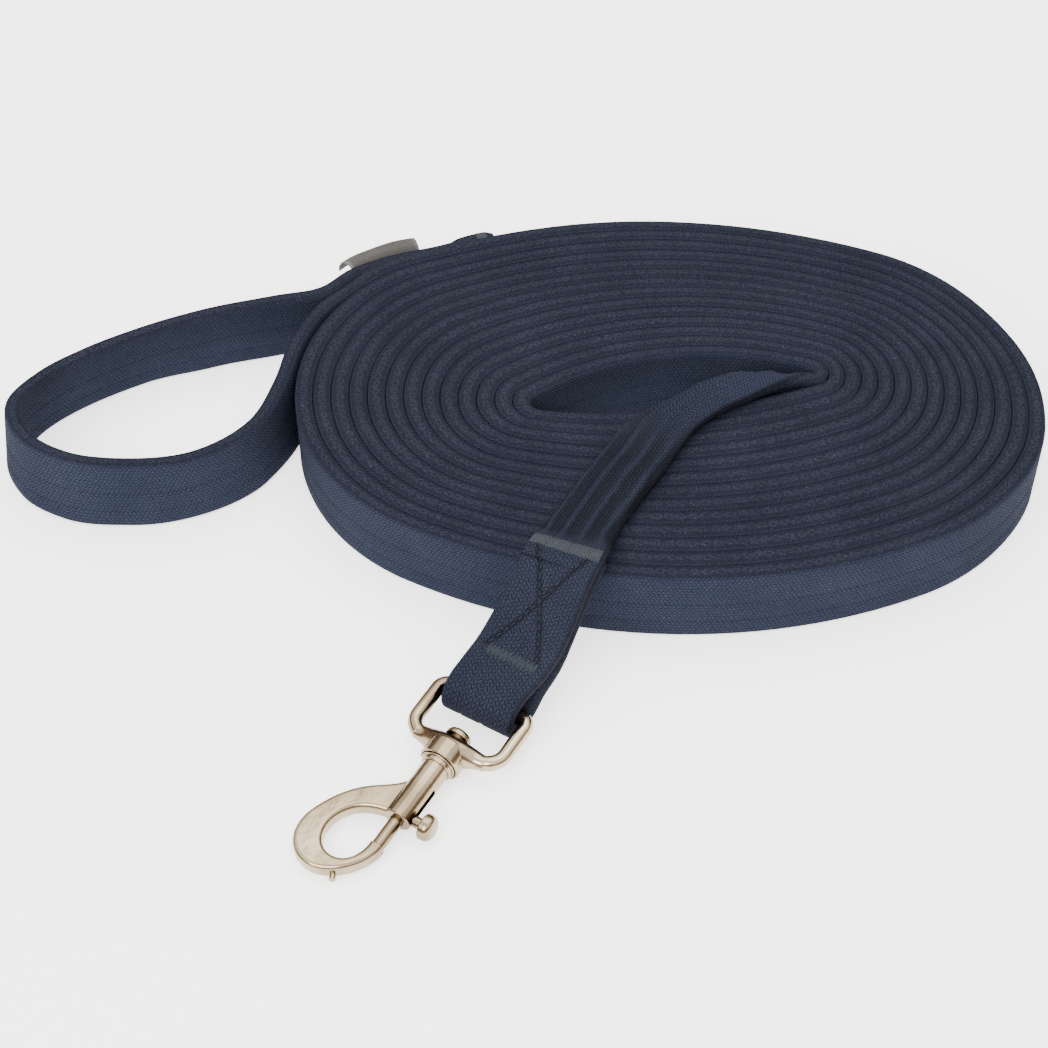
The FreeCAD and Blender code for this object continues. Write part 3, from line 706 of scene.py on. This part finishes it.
# Places of the bartacks along the strap, of the crossed seam between them, and how far the seam
# reaches to each side of the strap's middle
SHORT_SEAM, LONG_SEAM = along_upper_ply(8.5), along_upper_ply(41.0)
CROSS_START, CROSS_END = SHORT_SEAM + 1.3, LONG_SEAM - 1.7
CROSS_DOWN = 8.6

WEBBING = webbing_material()
THREAD = thread_material()
LABEL = label_material()
NICKEL = nickel_material()
STEEL = steel_material()


# The strap -----------------------------------------------------------------------------------

def build_webbing():
    """The whole strap as one closed mesh, with the distance along and across it at each vertex."""
    verts, along, down = [], [], []
    for i in range(len(EDGE)):
        one, other = section(i)
        ring = np.concatenate([one, other[-2:0:-1]])
        verts.append(ring)
        down.append(np.concatenate([DOWN, DOWN[-2:0:-1]]))
        along.append(np.full(len(ring), ALONG[i]))
    size = 2 * len(ACROSS) - 2
    verts = to_frame(np.concatenate(verts))
    faces = []
    for i in range(len(EDGE) - 1):
        for k in range(size):
            nxt = (k + 1) % size
            faces.append((i * size + k, i * size + nxt, (i + 1) * size + nxt, (i + 1) * size + k))
    faces.append(tuple(reversed(range(size))))
    last = (len(EDGE) - 1) * size
    faces.append(tuple(last + k for k in range(size)))
    return mesh_object("webbing", verts, [f[::-1] for f in faces], WEBBING, (
        ("along", np.concatenate(along)), ("down", np.concatenate(down))))


webbing = build_webbing()
print("strap length mm", round(float(ALONG[-1])), "stations", len(EDGE))
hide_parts("webbing_coil", "tail_on_edge", "strap_over_slot", "snap_strap",
            "snap_strap_return", "snap_strap_fold", "handle_neck", "handle_loop",
            "handle_end_ply")
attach(webbing, "webbing")


# Stitching and label ---------------------------------------------------------------------------

# One stitch: share of its length, share of its full radius, and lift in radii
STITCH_SHAPE = ((0.0, 0.4, -0.5), (0.12, 0.85, 0.1), (0.5, 1.0, 0.55), (0.88, 0.85, 0.1),
                (1.0, 0.4, -0.5))
STITCH_SIDES = 8
STITCH_RADIUS, CROSS_RADIUS = 0.30, 0.26
SKEW = 0.004                         # share of the webbing's width
START_RAGGED, END_RAGGED = 0.12, 0.10


def add_stitch(verts, faces, start, end, radius):
    """One stitch of thread between two points on a face: low at its ends, raised between."""
    (p0, n0), (p1, n1) = start, end
    axis = (p1 - p0) / np.linalg.norm(p1 - p0)
    normal = (n0 + n1) / np.linalg.norm(n0 + n1)
    side = np.cross(axis, normal)
    base = len(verts)
    for t, size, lift in STITCH_SHAPE:
        centre = p0 + (p1 - p0) * t + normal * lift * radius
        for k in range(STITCH_SIDES):
            a = 2 * math.pi * k / STITCH_SIDES
            verts.append(centre + radius * size * (math.cos(a) * side + math.sin(a) * normal))
    last = base + (len(STITCH_SHAPE) - 1) * STITCH_SIDES
    for low in range(base, last, STITCH_SIDES):
        high = low + STITCH_SIDES
        for k in range(STITCH_SIDES):
            nxt = (k + 1) % STITCH_SIDES
            faces.append((low + k, high + k, high + nxt, low + nxt))
    faces.append(tuple(base + k for k in range(STITCH_SIDES)))
    faces.append(tuple(last + k for k in reversed(range(STITCH_SIDES))))


def bartack(verts, faces, along, length, share_low, share_high, count):
    """Close row across the strap of stitches that lie along it, each a little askew."""
    for k in range(count):
        share = share_low + (share_high - share_low) * k / (count - 1)
        skew = SKEW * (-1) ** k
        start = on_face(along - length / 2 - START_RAGGED * (k % 3), share - skew)
        end = on_face(along + length / 2 + END_RAGGED * ((k + 1) % 3), share + skew)
        add_stitch(verts, faces, start, end, STITCH_RADIUS)


# Bartacks: length of a stitch, shares of the strap's width from and to, and stitches
LONG_BARTACK, SHORT_BARTACK = (4.6, 0.04, 0.97, 48), (2.8, 0.14, 0.78, 34)
LONG_TONE, SHORT_TONE, CROSS_TONE = 1.0, 0.45, 0.0
CROSS_STITCHES = 15
CROSS_PART = (0.12, 0.80)            # part of its place that a stitch of the crossed seam fills
CROSS_REACH = 1.12


def snap_stitching():
    """Two bartacks over the snap's fold and the crossed seam between them."""
    verts, faces = [], []
    bartack(verts, faces, LONG_SEAM, *LONG_BARTACK)
    tone = [LONG_TONE] * len(verts)
    bartack(verts, faces, SHORT_SEAM, *SHORT_BARTACK)
    tone += [SHORT_TONE] * (len(verts) - len(tone))
    half = CROSS_DOWN / (WEB_WIDTH + WEB_THICKNESS)
    for sign in (-1, 1):
        for k in range(CROSS_STITCHES):
            ends = []
            for part in CROSS_PART:
                t = (k + part) / CROSS_STITCHES
                along = CROSS_START + (CROSS_END - CROSS_START) * t
                ends.append(on_face(along, 0.5 + sign * half * (2 * t - 1) * CROSS_REACH))
            add_stitch(verts, faces, ends[0], ends[1], CROSS_RADIUS)
    tone += [CROSS_TONE] * (len(verts) - len(tone))
    return mesh_object("snap_stitching", to_frame(verts), faces, THREAD, (("tone", tone),))


# The hand loop's bartacks, measured back from the strap's end, and the stitches over its rim
END_BARTACK, NECK_BARTACK = (3.0, 0.12, 0.88, 30), (2.6, 0.12, 0.88, 30)
END_BARTACK_BACK, NECK_BARTACK_BACK = 4.0, 86.0
RIM_STITCHES, RIM_PITCH, RIM_LIFT = 9, 0.36, 0.35
RIM_NEAR_BACK, RIM_FAR_BACK = 2.6, 2.4
RIM_PLACE = 2                        # index in ACROSS of the point beside the top edge


def on_rim(along, side):
    """A point just above the strap's top edge, on one face's side of it."""
    i = int(np.searchsorted(ALONG, along))
    share = (along - ALONG[i - 1]) / (ALONG[i] - ALONG[i - 1])
    before, after = section(i - 1)[side][RIM_PLACE], section(i)[side][RIM_PLACE]
    return before + (after - before) * share + UP * RIM_LIFT


def handle_stitching():
    """Bartacks on the outer ply: at the strap's folded end, and where the loop starts."""
    verts, faces = [], []
    end = float(ALONG[-1])
    bartack(verts, faces, end - END_BARTACK_BACK, *END_BARTACK)
    bartack(verts, faces, end - NECK_BARTACK_BACK, *NECK_BARTACK)
    for k in range(RIM_STITCHES):
        near = (on_rim(end - RIM_NEAR_BACK - RIM_PITCH * k, 0), UP)
        far = (on_rim(end - RIM_FAR_BACK - RIM_PITCH * k, 1), UP)
        add_stitch(verts, faces, near, far, STITCH_RADIUS)
    return mesh_object("handle_stitching", to_frame(verts), faces, THREAD,
                       (("tone", [1.0] * len(verts)),))


# The label's run from its seam to its free end: distance out from the outer ply, and height
LABEL_RUN = ((2.45, 15.2), (2.5, 17.6), (2.8, 20.1), (3.8, 22.1), (5.5, 23.0), (7.3, 22.8),
             (9.0, 21.5), (10.1, 19.7), (10.4, 17.8))
LABEL_HALF = 0.22                    # half the ribbon's thickness
LABEL_OFFSET = 4.9                   # of the outer ply's middle from the last turn's
LABEL_FROM, LABEL_SPAN, LABEL_ROWS = 136.0, 18.0, 19    # direction, how far round, and rows
LABEL_WAVE, LABEL_WAVE_RATE = 0.35, 0.55
LABEL_DROOP = 0.8                    # how far the free end's corners hang down


def label_flap():
    """Ribbon sewn to the outer ply; it stands up and curls out and down."""
    run = np.array(LABEL_RUN)
    slope = np.gradient(run, axis=0)
    slope /= np.linalg.norm(slope, axis=1)[:, None]
    across = np.stack([slope[:, 1], -slope[:, 0]], axis=1)
    verts, faces, hem = [], [], []
    n = len(run)
    last = LABEL_ROWS - 1
    for k in range(LABEL_ROWS):
        phi = LABEL_FROM - LABEL_SPAN * k / last
        wave = LABEL_WAVE * math.sin(k * LABEL_WAVE_RATE)
        for layer in (1, -1):
            for m, (out, height) in enumerate(run + layer * LABEL_HALF * across):
                free = m / (n - 1)
                place, _ = winding(OUTER_TURN + phi / 360, LABEL_OFFSET + out + wave * free)
                droop = LABEL_DROOP * free * abs(2 * k / last - 1)
                verts.append([place[0], place[1], height - droop])
                hem.append(1.0 if k in (0, last) or m == n - 1 else 0.0)
    ring = list(range(n)) + list(range(2 * n - 1, n - 1, -1))
    for k in range(last):
        for a, b in zip(ring, ring[1:] + ring[:1]):
            low, high = k * 2 * n, (k + 1) * 2 * n
            faces.append((low + a, low + b, high + b, high + a))
    faces.append(tuple(reversed(ring)))
    faces.append(tuple(last * 2 * n + k for k in ring))
    return mesh_object("label", to_frame(verts), faces, LABEL, (("hem", hem),))


stitching = snap_stitching()
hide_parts("snap_bartacks", "snap_cross_stitching")
handle_thread = handle_stitching()
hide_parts("handle_bartacks")
label = label_flap()
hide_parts("label_tab")
for piece, slot in ((stitching, "thread"), (handle_thread, "thread"), (label, "label")):
    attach(piece, "webbing")

for node, material in (
    ("swivel_eye", NICKEL), ("swivel_rivet", NICKEL), ("hook_casting", NICKEL),
    ("bolt_pin", NICKEL), ("thumb_knob", NICKEL), ("bolt_spring", STEEL),
):
    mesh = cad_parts[node].data
    mesh.materials.clear()
    mesh.materials.append(material)


# Floor, light and camera -----------------------------------------------------------------------
# These lengths are in metres.

FLOOR_SIZE, FLOOR_DROP, FLOOR_GLOW = 12.0, 0.0002, 1.7
SKY_STRENGTH = 2.3
# The sky's colour by height: pale at the horizon, dark above it for the metal, white overhead
SKY = (
    (0.0, (1.0, 1.0, 1.0)), (0.08, (0.45, 0.36, 0.27)), (0.36, (0.12, 0.08, 0.05)),
    (0.50, (0.70, 0.64, 0.57)), (0.62, (1.08, 1.08, 1.08)),
)
CAMERA_TARGET = (-44.5, -48.5, 12.0)     # mm, in the layout
CAMERA_ELEVATION, CAMERA_DISTANCE = 46, 0.62
LENS, SENSOR = 72.4, 36.0                # mm


def plane(name, size, colour):
    """Pale square that gives off a little light, centred on the origin."""
    s = size / 2
    mesh = bpy.data.meshes.new(name)
    mesh.from_pydata([(-s, -s, 0), (s, -s, 0), (s, s, 0), (-s, s, 0)], [], [(0, 1, 2, 3)])
    material, _, shader = new_material(name, colour, 0.9)
    shader.inputs["Emission Color"].default_value = (1, 1, 1, 1)
    shader.inputs["Emission Strength"].default_value = FLOOR_GLOW
    mesh.materials.append(material)
    obj = bpy.data.objects.new(name, mesh)
    bpy.context.scene.collection.objects.link(obj)
    return obj


floor = plane("floor", FLOOR_SIZE, (0.93, 0.93, 0.93))
floor.location.z = -FLOOR_DROP

world = bpy.data.worlds.new("studio")
bpy.context.scene.world = world
world.use_nodes = True
sky = world.node_tree
direction = sky.nodes.new("ShaderNodeTexCoord")
split = sky.nodes.new("ShaderNodeSeparateXYZ")
sky.links.new(direction.outputs["Generated"], split.inputs["Vector"])
rise = Expression(sky, split.outputs["Z"])
sky.links.new(ramp(sky, rise, SKY), sky.nodes["Background"].inputs["Color"])
sky.nodes["Background"].inputs["Strength"].default_value = SKY_STRENGTH


def area_light(name, place, target, size, power):
    """Rectangular light at a place, turned to a target."""
    data = bpy.data.lights.new(name, "AREA")
    data.shape = "RECTANGLE"
    data.size, data.size_y = size
    data.energy = power
    obj = bpy.data.objects.new(name, data)
    bpy.context.scene.collection.objects.link(obj)
    obj.location = place
    obj.rotation_mode = "QUATERNION"
    obj.rotation_quaternion = (Vector(target) - Vector(place)).to_track_quat("-Z", "Y")


area_light("key", (-0.5, -0.9, 0.9), (0, 0, 0), (0.9, 0.7), 18)
area_light("top", (0.2, 0.3, 1.3), (0, 0, 0), (1.2, 1.0), 12)

target = Vector(ORIGIN) + Vector(CAMERA_TARGET) * MM
elevation = math.radians(CAMERA_ELEVATION)
camera_data = bpy.data.cameras.new("camera")
camera_data.lens = LENS
camera_data.sensor_width = SENSOR
camera = bpy.data.objects.new("camera", camera_data)
bpy.context.scene.collection.objects.link(camera)
towards = Vector((0, -math.cos(elevation), math.sin(elevation)))
camera.location = target + towards * CAMERA_DISTANCE
camera.rotation_mode = "QUATERNION"
camera.rotation_quaternion = (target - camera.location).to_track_quat("-Z", "Y")
bpy.context.scene.camera = camera

bpy.context.view_layer.update()
